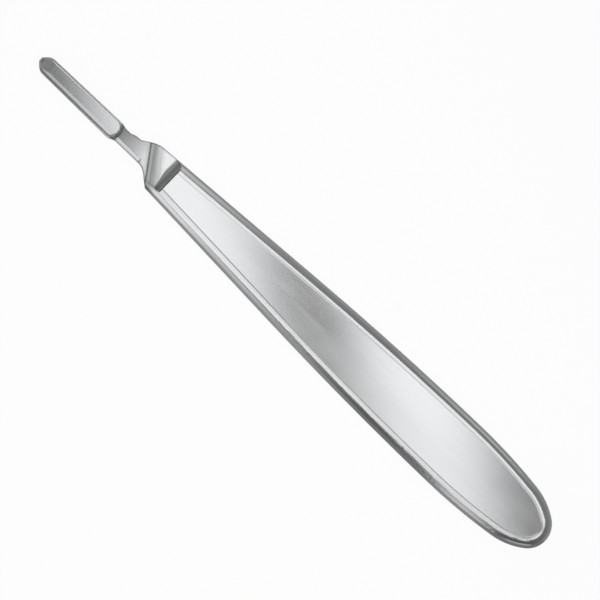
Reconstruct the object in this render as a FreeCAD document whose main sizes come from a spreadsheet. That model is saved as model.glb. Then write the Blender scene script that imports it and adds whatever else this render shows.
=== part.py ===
"""Flat scalpel handle with a fitting for a detachable blade, in millimetres.

Every body is modelled with the tip of the blade fitting at x = 0, its back face on z = 0 and
the middle of its width on y = 0. The finished handle is then moved so that its middle stands
over the origin: fitting toward -X, heel toward +X, and the side of the blade's cutting edge
toward -Y.
"""
import FreeCAD, Part
import math
import os
import re

import Sketcher

SIZES = [
    ("overall_length", 125.0, "tip of the fitting to the heel"),
    ("thickness", 3.2, "back face to front face of the grip"),
    ("widest_width", 13.9, "grip at its widest"),
    ("heel_length", 22.5, "widest place to the heel"),
    ("shoulder_width", 7.68, "grip at the shoulder"),
    ("shoulder_at", 29.0, "tip to the place of that width"),
    ("side_curve_length", 39.9, "stretch that curves, in front of the widest place"),
    ("rear_radius", 110.0, "side behind the widest place"),
    ("heel_radius", 13.0, "side into the heel"),
    ("heel_end_radius", 4.4, "end of the heel"),
    ("border_width", 1.85, "border round both faces, seen from above"),
    ("border_drop", 0.32, "fall of the border's bevel"),
    ("ridge_width", 0.1, "level ridge between the border and the panel"),
    ("panel_depth", 0.05, "depth of the panel in the front face"),
    ("panel_flank", 0.2, "slope round the panel, seen from above"),
    ("side_flat", 0.1, "narrow flat left along the side"),
    ("side_flat_at", 1.35, "back plane to the middle of that flat"),
    ("step_at", 26.66, "tip to the blade's step, on the centre line"),
    ("step_skew", 34.9, "degrees by which the step leans from square"),
    ("seat_level", 1.7, "face that the blade lies on"),
    ("ledge_width", 0.6, "ledge behind the step"),
    ("ledge_level", 2.35, "top of that ledge"),
    ("recess_level", 2.0, "floor of the recess behind the ledge"),
    ("recess_rim_at", 31.98, "tip to the rear rim of the recess"),
    ("recess_wall_radius", 2.5, "hollow rear wall of the recess"),
    ("recess_trough_radius", 10.0, "hollow rise from the floor to the ledge"),
    ("recess_side", 2.8, "centre line to the closed side of the recess"),
    ("spine_flare_at", 23.0, "tip to the start of the flare, spine side"),
    ("spine_flare_side", 1.95, "centre line to that start"),
    ("spine_flare_angle", 31.0, "degrees from the axis, spine side"),
    ("spine_flare_radius", 4.7, "corner from the flare into the grip's side"),
    ("edge_flare_at", 26.47, "tip to the start of the flare, edge side, before rounding"),
    ("edge_flare_angle", 40.0, "degrees from the axis, edge side"),
    ("edge_flare_radius", 3.0, "hollow from the neck into that flare"),
    ("nose_flat", 0.8, "flat at the very tip"),
    ("nose_corner_at", 1.2, "tip to the corner of the nose before rounding"),
    ("nose_radius", 1.9, "rounding of that corner"),
    ("nose_ramp_length", 2.8, "slope over the nose"),
    ("nose_ramp_drop", 0.22, "fall of that slope"),
    ("nose_facet_length", 0.75, "tip to the small steep facet on the nose"),
    ("nose_facet_slope", 38.0, "degrees of that facet"),
    ("key_length", 19.6, "tip to the rear of the key"),
    ("key_front_width", 3.3, "key at its nose"),
    ("key_rear_width", 3.76, "key at its rear"),
    ("key_rear_radius", 1.75, "corners of the key's rear"),
    ("key_level", 2.75, "top of the key"),
    ("key_wall_slope", 25.0, "degrees by which the key's walls lean in"),
    ("key_rim", 0.13, "chamfer round the key's top"),
    ("key_flat_side", 0.85, "centre line to the key's long bevel, edge side"),
    ("key_bevel_slope", 16.0, "degrees of that bevel"),
    ("groove_height", 0.45, "height of the blade grooves"),
    ("groove_depth", 0.55, "depth of the blade grooves"),
    ("key_shoulder_at", 18.3, "tip to where the fitting starts to narrow"),
    ("neck_at", 19.7, "tip to where the neck begins"),
    ("neck_corner_radius", 0.6, "corners between key and neck"),
    ("neck_spine_side", 1.5, "centre line to the neck's spine side"),
    ("neck_edge_side", 1.33, "centre line to the neck's edge side"),
    ("neck_bevel_width", 0.8, "bevel along the neck, edge side"),
    ("neck_bevel_drop", 0.2, "fall of that bevel"),
    ("neck_bevel_end", 25.4, "tip to the rear end of that bevel"),
    ("boss_at", 20.9, "tip to the small step in the neck's spine side"),
    ("boss_side", 1.84, "centre line to the top of that step"),
    ("boss_length", 0.9, "length of that step"),
    ("tongue_lift", 0.5, "back plane to the underside of the fitting"),
    ("ramp_from", 24.0, "tip to the front of the slope on the back"),
    ("ramp_to", 34.0, "tip to the rear of that slope"),
    ("past_outline", 4.0, "how far cutting outlines pass the handle"),
]

doc = FreeCAD.newDocument("scalpel_handle")
sheet = doc.addObject("Spreadsheet::Sheet", "Sizes")
for row, (alias, number, meaning) in enumerate(SIZES, start=1):
    sheet.set(f"A{row}", alias)
    sheet.set(f"B{row}", str(number))
    sheet.set(f"C{row}", meaning)
    sheet.setAlias(f"B{row}", alias)
doc.recompute()
size = {alias: float(sheet.get(alias)) for alias, number, meaning in SIZES}

WIDEST_AT = "(overall_length - heel_length)"


def from_sheet(expression):
    """The same expression with each size's name pointing at the sheet."""
    return re.sub("[a-z_]+", lambda word: f"Sizes.{word[0]}" if word[0] in size else word[0], expression)


def number_of(owner, expression):
    """What an expression comes to."""
    result = owner.evalExpression(from_sheet(expression))
    return float(getattr(result, "Value", result))


def tie(owner, name, expression):
    """Binds a property to the sheet."""
    owner.setExpression(name, from_sheet(expression))


def new_sketch(body, name, role, offset=None):
    """A sketch on one of the body's own origin planes, or moved off it along its normal."""
    sketch = body.newObject("Sketcher::SketchObject", name)
    plane = next(item for item in body.Origin.OriginFeatures if item.Role == role)
    sketch.AttachmentSupport = [(plane, "")]
    sketch.MapMode = "FlatFace"
    if offset is not None:
        tie(sketch, "AttachmentOffset.Base.z", offset)
    doc.recompute()
    return sketch


def drive(sketch, kind, expression, *places):
    """Adds a constraint whose value comes from the sheet."""
    value = number_of(sketch, expression)
    if kind == "Angle":
        value = math.radians(value)
    index = sketch.addConstraint(Sketcher.Constraint(kind, *places, value))
    tie(sketch, f"Constraints[{index}]", expression)


def place_point(sketch, geometry, end, x, y):
    """Ties a point to its coordinates in the sketch."""
    drive(sketch, "DistanceX", x, -1, 1, geometry, end)
    drive(sketch, "DistanceY", y, -1, 1, geometry, end)


def join(sketch, kind, first, first_end, second, second_end):
    """Joins two ends, as Coincident or Tangent."""
    sketch.addConstraint(Sketcher.Constraint(kind, first, first_end, second, second_end))


def add_line(sketch, start, end):
    """A straight line, by its number in the sketch."""
    return sketch.addGeometry(Part.LineSegment(start, end))


def add_arc(sketch, centre, start, end):
    """An arc from start to end anticlockwise round its centre."""
    circle = Part.Circle(centre, FreeCAD.Vector(0, 0, 1), (start - centre).Length)
    first = math.atan2(start.y - centre.y, start.x - centre.x)
    last = math.atan2(end.y - centre.y, end.x - centre.x)
    if last < first:
        last += 2 * math.pi
    return sketch.addGeometry(Part.ArcOfCircle(circle, first, last))


def round_corner(sketch, arriving, leaving, corner, before, after, radius, place):
    """A tangent arc between two lines whose unrounded corner stays tied to the sheet."""
    reach = (before - corner).Length
    half = (before - corner).getAngle(after - corner) / 2
    inward = ((before - corner) + (after - corner)).normalize()
    centre = corner + inward * (reach / math.cos(half))
    turns_left = (corner - before).cross(after - corner).z > 0
    first, last = (before, after) if turns_left else (after, before)
    arc = add_arc(sketch, centre, first, last)
    from_end, to_end = (1, 2) if turns_left else (2, 1)
    join(sketch, "Tangent", arriving, 2, arc, from_end)
    join(sketch, "Tangent", arc, to_end, leaving, 1)
    drive(sketch, "Radius", radius, arc)
    mark = sketch.addGeometry(Part.Point(corner), True)
    place_point(sketch, mark, 1, *place)
    for line in (arriving, leaving):
        sketch.addConstraint(Sketcher.Constraint("PointOnObject", mark, 1, line))


def draw_outline(sketch, corners):
    """A closed outline of straight lines through the corners, some of them rounded.

    A corner is its x and y, and a radius where it is rounded.
    """
    count = len(corners)
    points = [FreeCAD.Vector(number_of(sketch, c[0]), number_of(sketch, c[1]), 0) for c in corners]
    arrive = list(points)
    leave = list(points)
    for index, corner in enumerate(corners):
        if len(corner) == 3:
            back = (points[index - 1] - points[index]).normalize()
            ahead = (points[(index + 1) % count] - points[index]).normalize()
            reach = number_of(sketch, corner[2]) / math.tan(back.getAngle(ahead) / 2)
            arrive[index] = points[index] + back * reach
            leave[index] = points[index] + ahead * reach
    lines = [add_line(sketch, leave[index], arrive[(index + 1) % count]) for index in range(count)]
    for index, corner in enumerate(corners):
        arriving, leaving = lines[index - 1], lines[index]
        if len(corner) == 3:
            round_corner(sketch, arriving, leaving, points[index], arrive[index], leave[index],
                         corner[2], corner[:2])
        else:
            join(sketch, "Coincident", arriving, 2, leaving, 1)
            place_point(sketch, leaving, 1, *corner)
    doc.recompute()


def add_pad(body, name, sketch, length):
    """Material from the sketch along its normal."""
    pad = body.newObject("PartDesign::Pad", name)
    pad.Profile = sketch
    pad.FuzzyTolerance = 0
    tie(pad, "Length", length)
    doc.recompute()
    return pad


def add_pocket(body, name, sketch, length=None, both_ways=False, along_normal=False):
    """Cuts the sketch out of the body, through all of it where no length is given."""
    before = body.Tip.Shape.Volume
    pocket = body.newObject("PartDesign::Pocket", name)
    pocket.Profile = sketch
    pocket.FuzzyTolerance = 0
    pocket.Reversed = along_normal
    if both_ways:
        pocket.SideType = "Two sides"
        pocket.Type2 = "ThroughAll"
    if length is None:
        pocket.Type = "ThroughAll"
    else:
        tie(pocket, "Length", length)
    doc.recompute()
    if not pocket.Shape.Volume < before:
        raise RuntimeError(f"{name} cuts nothing")
    return pocket


def edges_where(feature, test):
    """Names of the feature's edges whose every point passes the test."""
    names = []
    for number, edge in enumerate(feature.Shape.Edges, start=1):
        points = edge.discretize(5)
        if all(test(point) for point in points):
            names.append(f"Edge{number}")
    return names


def add_fillet(body, name, base, edges, radius):
    """Rounds edges of the last feature."""
    fillet = body.newObject("PartDesign::Fillet", name)
    fillet.Base = (base, edges)
    tie(fillet, "Radius", radius)
    doc.recompute()
    return fillet


def add_chamfer(body, name, base, edges, down_side, across_face):
    """Chamfers edges of the last feature by one length down the side and one across the face."""
    chamfer = body.newObject("PartDesign::Chamfer", name)
    chamfer.ChamferType = "Two distances"
    chamfer.Base = (base, edges)
    tie(chamfer, "Size", down_side)
    tie(chamfer, "Size2", across_face)
    doc.recompute()
    return chamfer


def near(value, level):
    """Whether a coordinate is at a level."""
    return abs(value - level) < 1e-4


def flip(point, sign):
    """The point, or its mirror image across the centre line where the sign is -1."""
    return FreeCAD.Vector(point.x, sign * point.y, 0)


def side_points(inset):
    """Centres and joints of the grip's side, for y above 0, or of a line inside it."""
    def vector(x, y):
        return FreeCAD.Vector(x, y, 0)

    def polar(length, angle):
        return vector(length * math.cos(angle), length * math.sin(angle))

    widest_at = size["overall_length"] - size["heel_length"]
    half = size["widest_width"] / 2 - inset
    curve = size["side_curve_length"]
    rear, heel, end = (size[name] - inset for name in ("rear_radius", "heel_radius", "heel_end_radius"))
    shoulder = vector(size["shoulder_at"], size["shoulder_width"] / 2 - inset)
    straight = widest_at - curve - shoulder.x
    side = curve * (curve / 2 + straight) / (half - shoulder.y)
    slope = math.asin(curve / side)
    rear_centre = vector(widest_at, half - rear)
    end_centre = vector(size["overall_length"] - size["heel_end_radius"], 0)
    run = end_centre - rear_centre
    first, second = rear - heel, heel - end
    along = (first ** 2 - second ** 2 + run.Length ** 2) / (2 * run.Length)
    across = math.sqrt(first ** 2 - along ** 2)
    course = math.atan2(run.y, run.x)
    heel_centre = rear_centre + polar(along, course) + polar(across, course + math.pi / 2)
    return {
        "shoulder": shoulder,
        "slope": slope,
        "side_centre": vector(widest_at, half - side),
        "side_start": vector(widest_at - curve, half - side + side * math.cos(slope)),
        "widest": vector(widest_at, half),
        "rear_centre": rear_centre,
        "rear_end": rear_centre + (heel_centre - rear_centre).normalize() * rear,
        "heel_centre": heel_centre,
        "heel_end": end_centre + (end_centre - heel_centre).normalize() * end,
        "end_centre": end_centre,
    }


def draw_sides(sketch, known, starts, inset):
    """Both long sides from the given starts, and the heel that joins them.

    A side is a line and three arcs, which run anticlockwise, so their ends differ between the
    sides. Gives the two lines.
    """
    heels = []
    lines = []
    for sign, start in zip((1, -1), starts):
        fore, aft = (2, 1) if sign > 0 else (1, 2)
        line = add_line(sketch, start, flip(known["side_start"], sign))
        arcs = []
        for centre, first, last in (
            ("side_centre", "side_start", "widest"),
            ("rear_centre", "widest", "rear_end"),
            ("heel_centre", "rear_end", "heel_end"),
        ):
            ends = [flip(known[first], sign), flip(known[last], sign)]
            if sign > 0:
                ends.reverse()
            arcs.append(add_arc(sketch, flip(known[centre], sign), *ends))
        join(sketch, "Tangent", line, 2, arcs[0], fore)
        join(sketch, "Coincident", arcs[0], aft, arcs[1], fore)
        join(sketch, "Tangent", arcs[1], aft, arcs[2], fore)
        for arc in arcs[:2]:
            drive(sketch, "DistanceX", WIDEST_AT, -1, 1, arc, 3)
        drive(sketch, "DistanceX", f"{WIDEST_AT} - side_curve_length", -1, 1, arcs[0], fore)
        drive(sketch, "Radius", f"rear_radius{inset}", arcs[1])
        drive(sketch, "Radius", f"heel_radius{inset}", arcs[2])
        side = "" if sign > 0 else "-"
        place_point(sketch, arcs[0], aft, WIDEST_AT, f"{side}(widest_width / 2{inset})")
        mark = sketch.addGeometry(Part.Point(flip(known["shoulder"], sign)), True)
        place_point(sketch, mark, 1, "shoulder_at", f"{side}(shoulder_width / 2{inset})")
        sketch.addConstraint(Sketcher.Constraint("PointOnObject", mark, 1, line))
        heels.append((arcs[2], aft))
        lines.append(line)
    end_arc = add_arc(sketch, known["end_centre"], flip(known["heel_end"], -1), known["heel_end"])
    drive(sketch, "Radius", f"heel_end_radius{inset}", end_arc)
    place_point(sketch, end_arc, 3, "overall_length - heel_end_radius", "0")
    join(sketch, "Tangent", *heels[1], end_arc, 1)
    join(sketch, "Tangent", end_arc, 2, *heels[0])
    return lines


def draw_grip(sketch):
    """The grip's outline: slim at the shoulder, widest near the heel, flared to the neck."""
    known = side_points(0)
    front = number_of(sketch, "spine_flare_at")
    reach = known["shoulder"].x - front
    lower_start = FreeCAD.Vector(front, reach * math.tan(known["slope"]) - known["shoulder"].y, 0)

    flare_angle = math.radians(number_of(sketch, "spine_flare_angle"))
    flare_start = FreeCAD.Vector(front, number_of(sketch, "spine_flare_side"), 0)
    rise = -lower_start.y - flare_start.y
    run = rise / (math.tan(flare_angle) - math.tan(known["slope"]))
    corner = flare_start + FreeCAD.Vector(run, run * math.tan(flare_angle), 0)
    radius = number_of(sketch, "spine_flare_radius")
    tangent = radius * math.tan((flare_angle - known["slope"]) / 2)
    up_flare = FreeCAD.Vector(math.cos(flare_angle), math.sin(flare_angle), 0)
    up_side = FreeCAD.Vector(math.cos(known["slope"]), math.sin(known["slope"]), 0)
    turn_start = corner - up_flare * tangent
    turn_end = corner + up_side * tangent
    turn_centre = turn_end + FreeCAD.Vector(up_side.y, -up_side.x, 0) * radius

    upper, lower = draw_sides(sketch, known, (turn_end, lower_start), "")
    turn = add_arc(sketch, turn_centre, turn_end, turn_start)
    flare = add_line(sketch, flare_start, turn_start)
    front_line = add_line(sketch, flare_start, lower_start)
    drive(sketch, "Radius", "spine_flare_radius", turn)
    join(sketch, "Tangent", upper, 1, turn, 1)
    join(sketch, "Tangent", turn, 2, flare, 2)
    join(sketch, "Coincident", flare, 1, front_line, 1)
    place_point(sketch, flare, 1, "spine_flare_at", "spine_flare_side")
    drive(sketch, "Angle", "spine_flare_angle", flare)
    sketch.addConstraint(Sketcher.Constraint("Vertical", front_line))
    join(sketch, "Coincident", front_line, 2, lower, 1)
    doc.recompute()


def draw_panel(sketch):
    """The panel's outline: the grip's, further in, and cut square at the shoulder."""
    known = side_points(size["border_width"] + size["ridge_width"])
    starts = (known["shoulder"], flip(known["shoulder"], -1))
    upper, lower = draw_sides(sketch, known, starts, " - border_width - ridge_width")
    front_line = add_line(sketch, *starts)
    join(sketch, "Coincident", upper, 1, front_line, 1)
    join(sketch, "Coincident", front_line, 2, lower, 1)
    for line in (upper, lower):
        drive(sketch, "DistanceX", "shoulder_at", -1, 1, line, 1)
    doc.recompute()


def recess_cutter():
    """The space over the recess and its ledge, as a solid to cut away.

    Its floor is level, its rear wall is hollow across the grip, and in front it rises in a
    slanted hollow to the ledge behind the blade's step. One side of it is closed.
    """
    body = doc.addObject("PartDesign::Body", "recess_cutter")
    wall_reach = ("sqrt(recess_wall_radius^2"
                  " - (recess_wall_radius - thickness + recess_level)^2)")
    rear = f"recess_rim_at + recess_wall_radius - {wall_reach}"
    top = "thickness + past_outline"
    side_view = new_sketch(body, "recess_side_view", "XZ_Plane")
    draw_outline(side_view, [
        ("0", "recess_level"),
        (rear, "recess_level", "recess_wall_radius"),
        (rear, top),
        ("0", top),
    ])
    block = add_pad(body, "recess_block", side_view, "recess_side")
    block.SideType = "Two sides"
    tie(block, "Length2", "widest_width")
    doc.recompute()

    slanted = new_sketch(body, "ledge_view", "XZ_Plane")
    slanted.AttachmentOffset = FreeCAD.Placement(
        FreeCAD.Vector(size["step_at"], 0, 0),
        FreeCAD.Rotation(FreeCAD.Vector(0, 1, 0), size["step_skew"]))
    tie(slanted, "AttachmentOffset.Base.x", "step_at")
    tie(slanted, "AttachmentOffset.Rotation.Angle", "step_skew")
    doc.recompute()
    trough_reach = ("sqrt(recess_trough_radius^2"
                    " - (recess_trough_radius - ledge_level + recess_level)^2)")
    draw_under_ledge(slanted, "-step_at - past_outline", f"ledge_width + {trough_reach}")
    add_pocket(body, "under_ledge", slanted, both_ways=True)
    return body


def draw_under_ledge(sketch, front, trough_end):
    """What stays of the grip under the ledge, seen along the step: level, then a hollow."""
    centre = FreeCAD.Vector(number_of(sketch, trough_end),
                            number_of(sketch, "recess_level + recess_trough_radius"), 0)
    top_end = FreeCAD.Vector(number_of(sketch, "ledge_width"), number_of(sketch, "ledge_level"), 0)
    low_end = FreeCAD.Vector(centre.x, number_of(sketch, "recess_level"), 0)
    start = FreeCAD.Vector(number_of(sketch, front), top_end.y, 0)
    corners = [FreeCAD.Vector(centre.x, 0, 0), FreeCAD.Vector(start.x, 0, 0)]
    hollow = add_arc(sketch, centre, top_end, low_end)
    lines = [
        add_line(sketch, low_end, corners[0]),
        add_line(sketch, corners[0], corners[1]),
        add_line(sketch, corners[1], start),
        add_line(sketch, start, top_end),
    ]
    join(sketch, "Coincident", hollow, 2, lines[0], 1)
    for first, second in zip(lines, lines[1:]):
        join(sketch, "Coincident", first, 2, second, 1)
    join(sketch, "Coincident", lines[3], 2, hollow, 1)
    drive(sketch, "Radius", "recess_trough_radius", hollow)
    place_point(sketch, lines[0], 1, trough_end, "recess_level")
    place_point(sketch, lines[1], 1, trough_end, "0")
    place_point(sketch, lines[2], 1, front, "0")
    place_point(sketch, lines[3], 1, front, "ledge_level")
    place_point(sketch, hollow, 1, "ledge_width", "ledge_level")
    doc.recompute()


def add_grip(body):
    """The flat grip: bevelled border on both faces, round sides, and a shallow panel in front.

    The sides are rounder toward the front face than toward the back.
    """
    plan = new_sketch(body, "grip_plan", "XY_Plane")
    draw_grip(plan)
    grip = add_pad(body, "grip", plan, "thickness")

    def past_front(point):
        return point.x > size["spine_flare_at"] + 0.01

    rims = (edges_where(grip, lambda p: near(p.z, 0))
            + edges_where(grip, lambda p: near(p.z, size["thickness"])))
    rims = [name for name in rims if past_front(grip.Shape.getElement(name).CenterOfMass)]
    bevel = add_chamfer(body, "border", grip, rims, "border_drop", "border_width")
    turn = "tan(45 deg - atan(border_drop / border_width) / 2)"
    lower, upper = size["border_drop"], size["thickness"] - size["border_drop"]
    rounded = add_fillet(body, "round_back", bevel, edges_where(bevel, lambda p: near(p.z, lower)),
                         f"(side_flat_at - side_flat / 2 - border_drop) / {turn}")
    add_fillet(body, "round_front", rounded, edges_where(rounded, lambda p: near(p.z, upper)),
               f"(thickness - side_flat_at - side_flat / 2 - border_drop) / {turn}")

    plan = new_sketch(body, "panel_plan", "XY_Plane", "thickness")
    draw_panel(plan)
    panel = add_pocket(body, "panel", plan, "panel_depth")
    tie(panel, "TaperAngle", "-atan(panel_flank / panel_depth)")
    doc.recompute()


def add_step(body):
    """The slanted step that the blade's rear stops at, and the hollow of the flare."""
    reach = "(shoulder_width / 2 + past_outline)"
    lean = f"{reach} * tan(step_skew)"
    plan = new_sketch(body, "seat_plan", "XY_Plane", "seat_level")
    draw_outline(plan, [
        ("0", f"-{reach}"),
        (f"step_at + {lean}", f"-{reach}"),
        (f"step_at - {lean}", reach),
        ("0", reach),
    ])
    add_pocket(body, "blade_seat", plan, along_normal=True)

    plan = new_sketch(body, "edge_flare_plan", "XY_Plane")
    far_side = f"-neck_edge_side - {reach} * tan(edge_flare_angle)"
    draw_outline(plan, [
        ("0", "-neck_edge_side"),
        ("0", far_side),
        (f"edge_flare_at + {reach}", far_side),
        ("edge_flare_at", "-neck_edge_side", "edge_flare_radius"),
    ])
    add_pocket(body, "edge_flare", plan, along_normal=True)


def key_outline():
    """Corners of the fitting's base and of the key's foot, seen from above."""
    return [
        ("0", "-nose_flat / 2"),
        ("nose_corner_at", "-key_front_width / 2", "nose_radius"),
        ("key_length", "-key_rear_width / 2", "key_rear_radius"),
        ("key_length", "key_rear_width / 2", "key_rear_radius"),
        ("nose_corner_at", "key_front_width / 2", "nose_radius"),
        ("0", "nose_flat / 2"),
    ]


def add_tongue(body):
    """The fitting's base and neck, up to the face that the blade lies on."""
    plan = new_sketch(body, "tongue_plan", "XY_Plane", "tongue_lift")
    draw_outline(plan, [
        ("0", "-nose_flat / 2"),
        ("nose_corner_at", "-key_front_width / 2", "nose_radius"),
        ("key_shoulder_at", "-key_rear_width / 2", "neck_corner_radius"),
        ("neck_at", "-neck_edge_side", "neck_corner_radius"),
        ("ramp_from", "-neck_edge_side"),
        ("ramp_from", "0"),
        ("spine_flare_at", "spine_flare_side"),
        ("boss_at + boss_length", "boss_side"),
        ("boss_at", "neck_spine_side"),
        ("neck_at", "neck_spine_side", "neck_corner_radius"),
        ("key_shoulder_at", "key_rear_width / 2", "neck_corner_radius"),
        ("nose_corner_at", "key_front_width / 2", "nose_radius"),
        ("0", "nose_flat / 2"),
    ])
    add_pad(body, "tongue", plan, "seat_level - tongue_lift")


def add_key(body):
    """The key on the base: leaning walls, a bevel along the top and a blade groove in each side."""
    key_plan = new_sketch(body, "key_plan", "XY_Plane", "seat_level")
    draw_outline(key_plan, key_outline())
    key = add_pad(body, "key", key_plan, "key_level - seat_level")
    tie(key, "TaperAngle", "-key_wall_slope")
    doc.recompute()
    rim = edges_where(key, lambda p: near(p.z, size["key_level"]))
    add_chamfer(body, "key_edge", key, rim, "key_rim", "key_rim")

    for name, side in (("spine_groove", ""), ("edge_groove", "-")):
        front = f"{side}(key_front_width / 2 - groove_depth)"
        rear = f"{side}(key_rear_width / 2 - groove_depth)"
        beyond = f"{side}(key_rear_width / 2 + groove_depth)"
        groove_plan = new_sketch(body, f"{name}_plan", "XY_Plane", "seat_level")
        draw_outline(groove_plan, [
            ("nose_corner_at - past_outline", front),
            ("nose_corner_at", front),
            ("key_length", rear),
            ("neck_at", rear),
            ("neck_at", beyond),
            ("nose_corner_at - past_outline", beyond),
        ])
        add_pocket(body, name, groove_plan, "groove_height", along_normal=True)

    fall = "past_outline * tan(key_bevel_slope)"
    bevel_view = new_sketch(body, "key_bevel_view", "YZ_Plane")
    draw_outline(bevel_view, [
        ("-key_flat_side", "key_level"),
        ("-key_flat_side", "key_level + past_outline"),
        ("-key_flat_side - past_outline", "key_level + past_outline"),
        ("-key_flat_side - past_outline", f"key_level - {fall}"),
    ])
    add_pocket(body, "key_bevel", bevel_view, "key_length", along_normal=True)

    crest = "key_level - nose_ramp_drop * (1 - nose_facet_length / nose_ramp_length)"
    nose_view = new_sketch(body, "nose_view", "XZ_Plane")
    draw_outline(nose_view, [
        ("nose_ramp_length", "key_level"),
        ("nose_ramp_length", "key_level + past_outline"),
        ("-nose_ramp_length", "key_level + past_outline"),
        ("-nose_ramp_length", f"{crest} - (nose_ramp_length + nose_facet_length) * tan(nose_facet_slope)"),
        ("nose_facet_length", crest),
    ])
    add_pocket(body, "nose_ramp", nose_view, both_ways=True)


def add_neck_details(body):
    """The slope on the back and the bevel along the neck."""
    ramp_view = new_sketch(body, "ramp_view", "XZ_Plane")
    draw_outline(ramp_view, [
        ("-past_outline", "-past_outline"),
        ("ramp_to", "-past_outline"),
        ("ramp_to", "0"),
        ("ramp_from", "tongue_lift"),
        ("-past_outline", "tongue_lift"),
    ])
    add_pocket(body, "back_ramp", ramp_view, both_ways=True)

    neck_view = new_sketch(body, "neck_bevel_view", "YZ_Plane", "key_length")
    inner = "neck_edge_side - neck_bevel_width"
    outer = "neck_edge_side + neck_bevel_width"
    draw_outline(neck_view, [
        (f"-({inner})", "seat_level"),
        (f"-({inner})", "seat_level + past_outline"),
        (f"-({outer})", "seat_level + past_outline"),
        (f"-({outer})", "seat_level - 2 * neck_bevel_drop"),
    ])
    add_pocket(body, "neck_bevel", neck_view, "neck_bevel_end - key_length", along_normal=True)


def make_handle():
    """The whole handle, one solid."""
    body = doc.addObject("PartDesign::Body", "handle")
    body.Label = "handle"
    add_grip(body)
    recess = body.newObject("PartDesign::Boolean", "recess")
    recess.setObjects([recess_cutter()])
    recess.Type = "Cut"
    doc.recompute()
    add_step(body)
    add_tongue(body)
    add_key(body)
    add_neck_details(body)
    tie(body, "Placement.Base.x", "-overall_length / 2")
    doc.recompute()
    return body


handle = make_handle()

for item in doc.Objects:
    if "Invalid" in item.State or "Error" in item.State:
        raise RuntimeError(f"{item.Name} is not made: {item.State}")
if handle.Shape.isNull() or not handle.Shape.isValid() or len(handle.Shape.Solids) != 1:
    raise RuntimeError("the handle is not one valid solid")

os.makedirs("parts", exist_ok=True)
handle.Shape.exportStep(f"parts/{handle.Label}.step")
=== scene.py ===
"""Looks of the flat scalpel handle: satin steel on a pale table, under soft boxes, strips and cards.

Metres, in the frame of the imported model: the blade fitting points to -X, the side of the
blade's cutting edge is -Y, and the face that carries the fitting looks up.
"""
import math

import bpy
from mathutils import Matrix, Vector

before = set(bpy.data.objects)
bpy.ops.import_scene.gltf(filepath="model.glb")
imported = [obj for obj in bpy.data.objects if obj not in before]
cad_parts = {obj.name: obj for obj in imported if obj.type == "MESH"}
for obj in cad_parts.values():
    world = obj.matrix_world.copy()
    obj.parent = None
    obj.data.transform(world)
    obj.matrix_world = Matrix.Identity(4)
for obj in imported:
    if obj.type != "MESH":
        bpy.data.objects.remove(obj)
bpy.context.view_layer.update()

MM = 0.001
WHITE = (1.0, 1.0, 1.0, 1.0)

# Camera: looks down from a little to the blade's edge side, through a long lens.
# The sensor's width is in millimetres
VIEW_CENTRE = Vector((0.90, 0.85, 1.6)) * MM
VIEW_WIDTH = 107.5 * MM
VIEW_DISTANCE = 0.9
SIDE_TILT = math.radians(5.5)
HANDLE_SLOPE = math.radians(43.67)
SENSOR_WIDTH = 36.0
NEAREST_SEEN = 0.01
FARTHEST_SEEN = 20.0

# Rear ends of the recess and the key, and the stretch before the key's rear over which the
# shading of the step sets in
RECESS_REAR = -31.0 * MM
KEY_REAR = -43.6 * MM
KEY_REAR_BLEND = 0.6 * MM

# Ground face that the blade lies on: its level and the margin of that, the stretch over which
# it gets less dull, how dull it still is at the end, and how much light its colour keeps where
# it is dullest. That darker colour is a painted shade, set by the same share as the dullness
SEAT_LEVEL = 1.7 * MM
LEVEL_MARGIN = 0.02 * MM
DULL_STRETCH = (-42.5 * MM, -37.0 * MM)
LEAST_DULL = 0.1
SEAT_LIGHT_IN_PAINTED_SHADE = 0.64

# Where the middle line crosses the slanted step's edge and foot, and how far the step runs
# along the handle for each millimetre across it
STEP_EDGE = -35.8 * MM
STEP_FOOT = -35.0 * MM
STEP_SLANT = 0.667

# How far the small roundings reach from most edges and from those round the step
FINE_ROUNDING = 0.05 * MM
STEP_ROUNDING = 0.22 * MM

# Round the step: how far the shade reaches on its rims, in its hollows and behind its foot,
# and how much of the light it takes there
RIM_REACH = 0.60 * MM
RIM_SHADE = 0.55
HOLLOW_REACH = 1.2 * MM
HOLLOW_SHADE = 0.55
FOOT_REACH = 1.5 * MM
FOOT_SHADE = 0.52

# Narrow slope round the panel: its shade on the edge's side and on the spine's, how far from
# the middle line the change ends, and the least by which it has to face inward
PANEL_SHADE = (0.42, 0.16)
PANEL_CHANGE = 2.0 * MM
PANEL_INWARD = 0.15 * MM

# Samples for the soft edges and for the hollows. An edge is full at the lower agreement of its
# softened normal with the face's own and gone at the higher, and a hollow is so by its openness
EDGE_SAMPLES = 6
HOLLOW_SAMPLES = 12
EDGE_AGREEMENT = (0.90, 0.995)
HOLLOW_OPENNESS = (0.4, 0.95)

# Noises on the steel: scale along the handle, across it and upward, fineness and detail.
# The span is what a noise mostly keeps to
HAIRLINES = ((30.0, 2500.0, 2500.0), 4.0, 6.0)
GRAIN = ((1.0, 1.0, 1.0), 2500.0, 3.0)
CLOUDS = ((0.5, 1.0, 1.0), 160.0, 5.0)
NOISE_SPAN = (0.3, 0.7)

# Steel's two tones, and the shares of the lighter one that the clouds go between
DARK_STEEL = (0.57, 0.575, 0.585, 1.0)
LIGHT_STEEL = (0.66, 0.665, 0.67, 1.0)
LIGHT_SHARE = (0.2, 0.8)

# Roughness from hairline to hairline, what the clouds and the dull face add, what the edges
# lose, and how far the shine is drawn out by the brushing
ROUGHNESS = (0.19, 0.22)
CLOUD_ROUGHNESS = (-0.015, 0.02)
DULL_ROUGHNESS = 0.35
EDGE_POLISH = 0.06
BRUSHING = 0.2

# Strength and depth of the hairlines and of the grain
HAIRLINE_BUMP = (0.03, 0.004 * MM)
GRAIN_BUMP = (0.003, 0.003 * MM)

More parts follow.
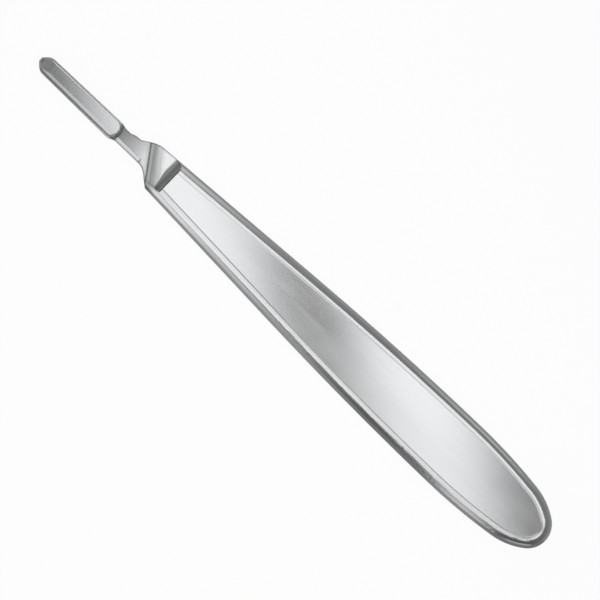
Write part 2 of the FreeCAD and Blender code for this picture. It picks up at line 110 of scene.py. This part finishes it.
# Places of a colour mix's two colours among its inputs, and of its result among the outputs
MIX_FIRST = 6
MIX_SECOND = 7
MIX_RESULT = 2

# Table: its size, its gap below the handle and its own colour
TABLE_SIZE = 4.0
TABLE_GAP = 0.02 * MM
TABLE_COLOUR = (0.9, 0.9, 0.9, 1.0)

# How much of the table is an even glow to the eye and in reflections, and how bright that is
# in reflections
SEEN_GLOW = 0.95
MIRRORED_GLOW = 0.5
MIRRORED_LIGHT = 0.22

# Painted shade in the table's reflections beside the edge's side of the heel half: how much more
# of it is that darker glow in reflections, and between which places that sets in. A short stretch
# is left out, and the last two say where its middle is and between which distances from there the
# shade is back
HEEL_PAINTED_SHADE = 0.4
HEEL_START = (8.0 * MM, 24.0 * MM)
BRIGHT_MIDDLE = 46.5 * MM
BRIGHT_ENDS = (3.0 * MM, 9.0 * MM)

# Soft boxes, level over the handle and each a little over the last: name, middle in x and y,
# size in x and y, turn in degrees, radiance. The boxes show in the level faces and the strips
# in the borders and sides, each along the stretch that its name says
BOX_HEIGHT = 0.10
BOX_SPACING = 0.1 * MM
SOFT_BOXES = (
    ("front_box", -0.03075, 0.0096, 0.0276, 0.070, 54, 1.32),
    ("rear_box", 0.03465, 0.0096, 0.0249, 0.070, 50, 0.96),
    ("rear_box_core", 0.0376, 0.0096, 0.0154, 0.070, 62, 0.43),
    ("nose_box", -0.102, 0.0096, 0.044, 0.050, 0, 0.17),
    ("edge_strip_tip", -0.085, -0.057, 0.050, 0.066, 0, 0.55),
    ("edge_strip_neck", -0.0495, -0.057, 0.021, 0.066, 0, 0.88),
    ("edge_strip_front", -0.0275, -0.055, 0.023, 0.070, 0, 1.30),
    ("edge_strip_middle", 0.002, -0.049, 0.036, 0.050, 0, 1.20),
    ("edge_strip_rear", 0.0285, -0.0505, 0.017, 0.053, 0, 1.20),
    ("edge_strip_grip", 0.0415, -0.0425, 0.009, 0.037, 0, 1.20),
    ("edge_strip_heel", 0.057, -0.057, 0.022, 0.066, 0, 1.10),
    ("edge_strip_end", 0.087, -0.040, 0.038, 0.032, 0, 1.20),
    ("spine_strip_front", -0.034, 0.045, 0.056, 0.034, 0, 1.18),
    ("spine_strip_middle", 0.006, 0.053, 0.024, 0.020, 0, 1.30),
    ("spine_strip_rear", 0.062, 0.045, 0.088, 0.034, 0, 1.24),
    ("heel_strip", 0.106, 0.000, 0.034, 0.040, 0, 1.15),
)

# Leans of a lamp that faces down and of one that faces sideways, in degrees
LEVEL = 0
UPRIGHT = 90

# Cards that stand round the handle: name, middle in x and y, length, turn in degrees, radiance
CARD_HEIGHT = 0.09
CARDS = (
    ("edge_card_front", -0.080, -0.092, 0.100, 0, 1.05),
    ("edge_card_middle", -0.019, -0.092, 0.022, 0, 0.60),
    ("edge_card_rear", 0.000, -0.092, 0.016, 0, 0.32),
    ("edge_card_heel", 0.058, -0.092, 0.024, 0, 0.75),
    ("spine_card_front", -0.087, 0.092, 0.086, 180, 0.75),
    ("spine_card_middle", -0.037, 0.092, 0.014, 180, 0.45),
    ("spine_card_rear", -0.024, 0.092, 0.012, 180, 0.26),
    ("spine_card_heel", 0.052, 0.170, 0.046, 180, 0.36),
    ("corner_card", 0.220, -0.205, 0.160, 47, 0.50),
)

# Brightness of the room by the sine of the height angle, its share on the edge's side of the
# handle and on the spine's, and the sine of the angle to either side at which that is reached
ROOM_LIGHT = (
    (0.00, 0.22),
    (0.15, 0.20),
    (0.35, 0.17),
    (0.80, 0.15),
    (0.92, 0.16),
)
SIDE_LIGHT = (0.7, 1.6)
SIDE_CHANGE = 0.7


class NodeTree:
    """The nodes of a material or of the world, with the steps that they are put together by."""

    def __init__(self, owner):
        owner.use_nodes = True
        self.nodes = owner.node_tree.nodes
        self.links = owner.node_tree.links

    def add(self, kind, **values):
        """A node with some of its inputs or properties set."""
        node = self.nodes.new(kind)
        for name, value in values.items():
            title = name.replace("_", " ").title()
            if title in node.inputs:
                node.inputs[title].default_value = value
            else:
                setattr(node, name, value)
        return node

    def feed(self, socket, value):
        """Links an input to the output of another node, or sets it to a fixed value."""
        if isinstance(value, bpy.types.NodeSocket):
            self.links.new(value, socket)
        else:
            socket.default_value = value

    def split(self, vector):
        """The X, Y and Z of a vector."""
        axes = self.add("ShaderNodeSeparateXYZ")
        self.feed(axes.inputs["Vector"], vector)
        return axes.outputs

    def math(self, operation, *values):
        """The result of one operation on one to three values."""
        node = self.add("ShaderNodeMath", operation=operation)
        for socket, value in zip(node.inputs, values):
            self.feed(socket, value)
        return node.outputs["Value"]

    def product(self, first, *others):
        """Two or more values multiplied with each other."""
        result = first
        for other in others:
            result = self.math("MULTIPLY", result, other)
        return result

    def vector_math(self, operation, first, second):
        """One operation on two vectors."""
        node = self.add("ShaderNodeVectorMath", operation=operation)
        self.feed(node.inputs[0], first)
        self.feed(node.inputs[1], second)
        return node.outputs

    def ranged(self, value, low, high, from_low=0.0, from_high=1.0):
        """A value carried from one range to another, and kept within it."""
        carried = self.add("ShaderNodeMapRange", from_min=from_low, from_max=from_high,
                           to_min=low, to_max=high)
        self.feed(carried.inputs["Value"], value)
        return carried.outputs["Result"]

    def noise(self, place, stretch, scale, detail):
        """Noise over the object's own coordinates, stretched along its axes."""
        mapping = self.add("ShaderNodeMapping", scale=stretch)
        self.feed(mapping.inputs["Vector"], place)
        noise = self.add("ShaderNodeTexNoise", scale=scale, detail=detail)
        self.feed(noise.inputs["Vector"], mapping.outputs["Vector"])
        return noise.outputs["Fac"]

    def bump(self, height, normal, strength, distance):
        """Normals that are turned by a fine relief."""
        relief = self.add("ShaderNodeBump", strength=strength, distance=distance)
        self.feed(relief.inputs["Height"], height)
        self.feed(relief.inputs["Normal"], normal)
        return relief.outputs["Normal"]


def new_material(name):
    """A material with an empty node tree, the tree and the socket that its surface goes to."""
    material = bpy.data.materials.new(name)
    tree = NodeTree(material)
    tree.nodes.clear()
    output = tree.add("ShaderNodeOutputMaterial")
    return material, tree, output.inputs["Surface"]


def soft_edges(tree, radius):
    """Normals that turn smoothly over every edge, within a radius of it."""
    soft = tree.add("ShaderNodeBevel", samples=EDGE_SAMPLES)
    tree.feed(soft.inputs["Radius"], radius)
    return soft.outputs["Normal"]


def edge_share(tree, softened):
    """How near an edge is: 1 where the softened normals are turned well away from the face's own."""
    own = tree.add("ShaderNodeNewGeometry").outputs["Normal"]
    agreement = tree.vector_math("DOT_PRODUCT", softened, own)["Value"]
    return tree.ranged(agreement, 1.0, 0.0, *EDGE_AGREEMENT)


def panel_slope(tree, place, fore):
    """Finds the slope round the grip's panel: behind the recess only this faces inward."""
    own = tree.add("ShaderNodeNewGeometry").outputs["True Normal"]
    level = tree.vector_math("MULTIPLY", own, (1.0, 1.0, 0.0))["Vector"]
    outward = tree.vector_math("DOT_PRODUCT", place, level)["Value"]
    inward = tree.math("LESS_THAN", outward, -PANEL_INWARD)
    behind = tree.math("SUBTRACT", 1.0, fore)
    return tree.product(inward, behind)


def panel_shade(tree, place, axes, fore):
    """Shade of the slope round the panel, a thin line inside the grip's border."""
    shade = tree.ranged(axes["Y"], *PANEL_SHADE, -PANEL_CHANGE, PANEL_CHANGE)
    return tree.product(shade, panel_slope(tree, place, fore))


def step_shade(tree, axes, around_step):
    """Shade in the hollows, on the rims and at the foot of the slanted step."""
    open_share = tree.add("ShaderNodeAmbientOcclusion", samples=HOLLOW_SAMPLES, distance=HOLLOW_REACH)
    hollow = tree.ranged(open_share.outputs["AO"], HOLLOW_SHADE, 0.0, *HOLLOW_OPENNESS)
    rim = tree.product(edge_share(tree, soft_edges(tree, RIM_REACH)), RIM_SHADE)
    along_step = tree.math("ADD", axes["X"], tree.product(axes["Y"], STEP_SLANT))
    past_edge = tree.math("GREATER_THAN", along_step, STEP_EDGE)
    behind_foot = tree.ranged(along_step, FOOT_SHADE, 0.0, STEP_FOOT, STEP_FOOT + FOOT_REACH)
    darkest = tree.math("MAXIMUM", hollow, rim)
    darkest = tree.math("MAXIMUM", darkest, tree.product(past_edge, behind_foot))
    return tree.product(around_step, darkest)


def dull_and_shade_share(tree, axes, around_step):
    """How dull the ground face that the blade lies on is, most at its front; the same share darkens
    its colour as a painted shade.
    """
    on_seat = tree.math("COMPARE", axes["Z"], SEAT_LEVEL, LEVEL_MARGIN)
    front = tree.ranged(axes["X"], 1.0, LEAST_DULL, *DULL_STRETCH)
    return tree.product(around_step, on_seat, front)


def steel_colour(tree, clouds, light):
    """Two tones of grey in soft clouds, with the share of their light that the shades leave."""
    tones = tree.add("ShaderNodeMix", data_type="RGBA")
    tree.feed(tones.inputs["Factor"], tree.ranged(clouds, *LIGHT_SHARE, *NOISE_SPAN))
    tree.feed(tones.inputs[MIX_FIRST], DARK_STEEL)
    tree.feed(tones.inputs[MIX_SECOND], LIGHT_STEEL)
    shaded = tree.add("ShaderNodeVectorMath", operation="SCALE")
    tree.feed(shaded.inputs["Vector"], tones.outputs[MIX_RESULT])
    tree.feed(shaded.inputs["Scale"], light)
    return shaded.outputs["Vector"]


def steel_roughness(tree, hairlines, clouds, edge, dull_and_shade):
    """Satin, with uneven hairlines and clouds, smoother edges and a dull ground face."""
    rough = tree.ranged(hairlines, *ROUGHNESS, *NOISE_SPAN)
    rough = tree.math("ADD", rough, tree.ranged(clouds, *CLOUD_ROUGHNESS, *NOISE_SPAN))
    rough = tree.math("SUBTRACT", rough, tree.product(edge, EDGE_POLISH))
    return tree.math("ADD", rough, tree.product(dull_and_shade, DULL_ROUGHNESS))


def satin_steel():
    """Stainless steel, finely brushed along the handle, a little polished on its edges."""
    material, tree, surface = new_material("satin_steel_looks")
    shader = tree.add("ShaderNodeBsdfPrincipled", metallic=1.0, anisotropic=BRUSHING)
    tree.feed(surface, shader.outputs["BSDF"])
    place = tree.add("ShaderNodeTexCoord").outputs["Object"]
    axes = tree.split(place)
    hairlines = tree.noise(place, *HAIRLINES)
    grain = tree.noise(place, *GRAIN)
    clouds = tree.noise(place, *CLOUDS)

    fore = tree.math("LESS_THAN", axes["X"], RECESS_REAR)
    behind_key = tree.ranged(axes["X"], 0.0, 1.0, KEY_REAR - KEY_REAR_BLEND, KEY_REAR)
    around_step = tree.product(fore, behind_key)
    softened = soft_edges(tree, tree.ranged(around_step, FINE_ROUNDING, STEP_ROUNDING))
    dull_and_shade = dull_and_shade_share(tree, axes, around_step)

    # Painted shade: the colour darkens round the step, on the panel's slope and, with the dullness, on
    # the ground face
    shade = tree.math("ADD", step_shade(tree, axes, around_step), panel_shade(tree, place, axes, fore))
    light = tree.product(tree.math("SUBTRACT", 1.0, shade), tree.ranged(dull_and_shade, 1.0, SEAT_LIGHT_IN_PAINTED_SHADE))
    tree.feed(shader.inputs["Base Color"], steel_colour(tree, clouds, light))
    rough = steel_roughness(tree, hairlines, clouds, edge_share(tree, softened), dull_and_shade)
    tree.feed(shader.inputs["Roughness"], rough)
    brushed = tree.bump(hairlines, softened, *HAIRLINE_BUMP)
    tree.feed(shader.inputs["Normal"], tree.bump(grain, brushed, *GRAIN_BUMP))
    return material


def dress_handle():
    """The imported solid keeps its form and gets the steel."""
    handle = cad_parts["handle"]
    steel = satin_steel()
    for slot in handle.material_slots:
        slot.material = steel


def painted_shade_beside_heel(tree):
    """Where the table's reflections get a painted shade: beside the edge's side of the heel half,
    apart from one short stretch.
    """
    place = tree.split(tree.add("ShaderNodeTexCoord").outputs["Object"])
    edge_side = tree.math("LESS_THAN", place["Y"], 0.0)
    rear = tree.ranged(place["X"], 0.0, 1.0, *HEEL_START)
    away = tree.math("ABSOLUTE", tree.math("SUBTRACT", place["X"], BRIGHT_MIDDLE))
    return tree.product(edge_side, rear, tree.ranged(away, 0.0, 1.0, *BRIGHT_ENDS))


def table_white():
    """Pale table: an even white to the eye, a darker glow in reflections, with soft shadows left."""
    material, tree, surface = new_material("table_white")
    path = tree.add("ShaderNodeLightPath").outputs
    mirrored = tree.math("MAXIMUM", path["Is Glossy Ray"], path["Is Transmission Ray"])
    cloth = tree.add("ShaderNodeBsdfDiffuse", color=TABLE_COLOUR)
    glow = tree.add("ShaderNodeEmission", color=WHITE)
    tree.feed(glow.inputs["Strength"], tree.ranged(mirrored, 1.0, MIRRORED_LIGHT))
    # Painted shade: a larger share of the dim glow darkens the table's reflections beside the heel
    glow_with_painted_shade = tree.math("ADD", tree.product(painted_shade_beside_heel(tree), HEEL_PAINTED_SHADE), MIRRORED_GLOW)
    glow_share = tree.math("MAXIMUM", tree.product(path["Is Camera Ray"], SEEN_GLOW),
                           tree.product(mirrored, glow_with_painted_shade))
    mixed = tree.add("ShaderNodeMixShader")
    tree.feed(mixed.inputs["Fac"], glow_share)
    tree.feed(mixed.inputs[1], cloth.outputs["BSDF"])
    tree.feed(mixed.inputs[2], glow.outputs["Emission"])
    tree.feed(surface, mixed.outputs["Shader"])
    return material


def make_table():
    """The plain pale floor that the handle lies on."""
    bpy.ops.mesh.primitive_plane_add(size=TABLE_SIZE, location=(0, 0, -TABLE_GAP))
    table = bpy.context.object
    table.name = "table"
    table.data.materials.append(table_white())


def soft_lamp(name, place, length, width, lean, turn, radiance):
    """A lamp that looks equally bright all over, and isn't seen itself."""
    light = bpy.data.lights.new(name, "AREA")
    light.shape = "RECTANGLE"
    light.size = length
    light.size_y = width
    light.energy = radiance * math.pi * length * width
    lamp = bpy.data.objects.new(name, light)
    lamp.location = place
    lamp.rotation_euler = (math.radians(lean), 0, math.radians(turn))
    lamp.visible_camera = False
    bpy.context.scene.collection.objects.link(lamp)


def make_lights():
    """The soft boxes over the handle, lying level, and the cards round it, standing upright."""
    for number, (name, x, y, length, width, turn, radiance) in enumerate(SOFT_BOXES):
        place = (x, y, BOX_HEIGHT + number * BOX_SPACING)
        soft_lamp(name, place, length, width, LEVEL, turn, radiance)
    for name, x, y, length, turn, radiance in CARDS:
        soft_lamp(name, (x, y, CARD_HEIGHT / 2), length, CARD_HEIGHT, UPRIGHT, turn, radiance)


def make_room():
    """A plain room, whose light changes with the height and with the side it comes from."""
    world = bpy.data.worlds.new("room")
    bpy.context.scene.world = world
    tree = NodeTree(world)
    direction = tree.split(tree.add("ShaderNodeTexCoord").outputs["Generated"])
    ramp = tree.add("ShaderNodeValToRGB")
    elements = ramp.color_ramp.elements
    # A new stop starts in the middle, and the next loop moves it to its place
    while len(elements) < len(ROOM_LIGHT):
        elements.new(0.5)
    for element, (height, light) in zip(elements, ROOM_LIGHT):
        element.position = height
        element.color = (light, light, light, 1.0)
    tree.feed(ramp.inputs["Fac"], direction["Z"])
    background = tree.nodes["Background"]
    tree.feed(background.inputs["Color"], ramp.outputs["Color"])
    side = tree.ranged(direction["Y"], *SIDE_LIGHT, -SIDE_CHANGE, SIDE_CHANGE)
    tree.feed(background.inputs["Strength"], side)


def make_camera():
    """The photograph's view: the handle runs down to the right, seen almost straight from above."""
    back = Vector((0, -math.sin(SIDE_TILT), math.cos(SIDE_TILT)))
    along = Vector((1, 0, 0))
    across = back.cross(along)
    right = along * math.cos(HANDLE_SLOPE) + across * math.sin(HANDLE_SLOPE)
    up = across * math.cos(HANDLE_SLOPE) - along * math.sin(HANDLE_SLOPE)
    data = bpy.data.cameras.new("camera")
    data.sensor_width = SENSOR_WIDTH
    data.lens = SENSOR_WIDTH * VIEW_DISTANCE / VIEW_WIDTH
    data.clip_start = NEAREST_SEEN
    data.clip_end = FARTHEST_SEEN
    camera = bpy.data.objects.new("camera", data)
    turned = Matrix((right, up, back)).transposed()
    camera.matrix_world = Matrix.Translation(VIEW_CENTRE + back * VIEW_DISTANCE) @ turned.to_4x4()
    bpy.context.scene.collection.objects.link(camera)
    bpy.context.scene.camera = camera


bpy.context.scene.view_settings.view_transform = "Standard"
dress_handle()
make_table()
make_lights()
make_room()
make_camera()
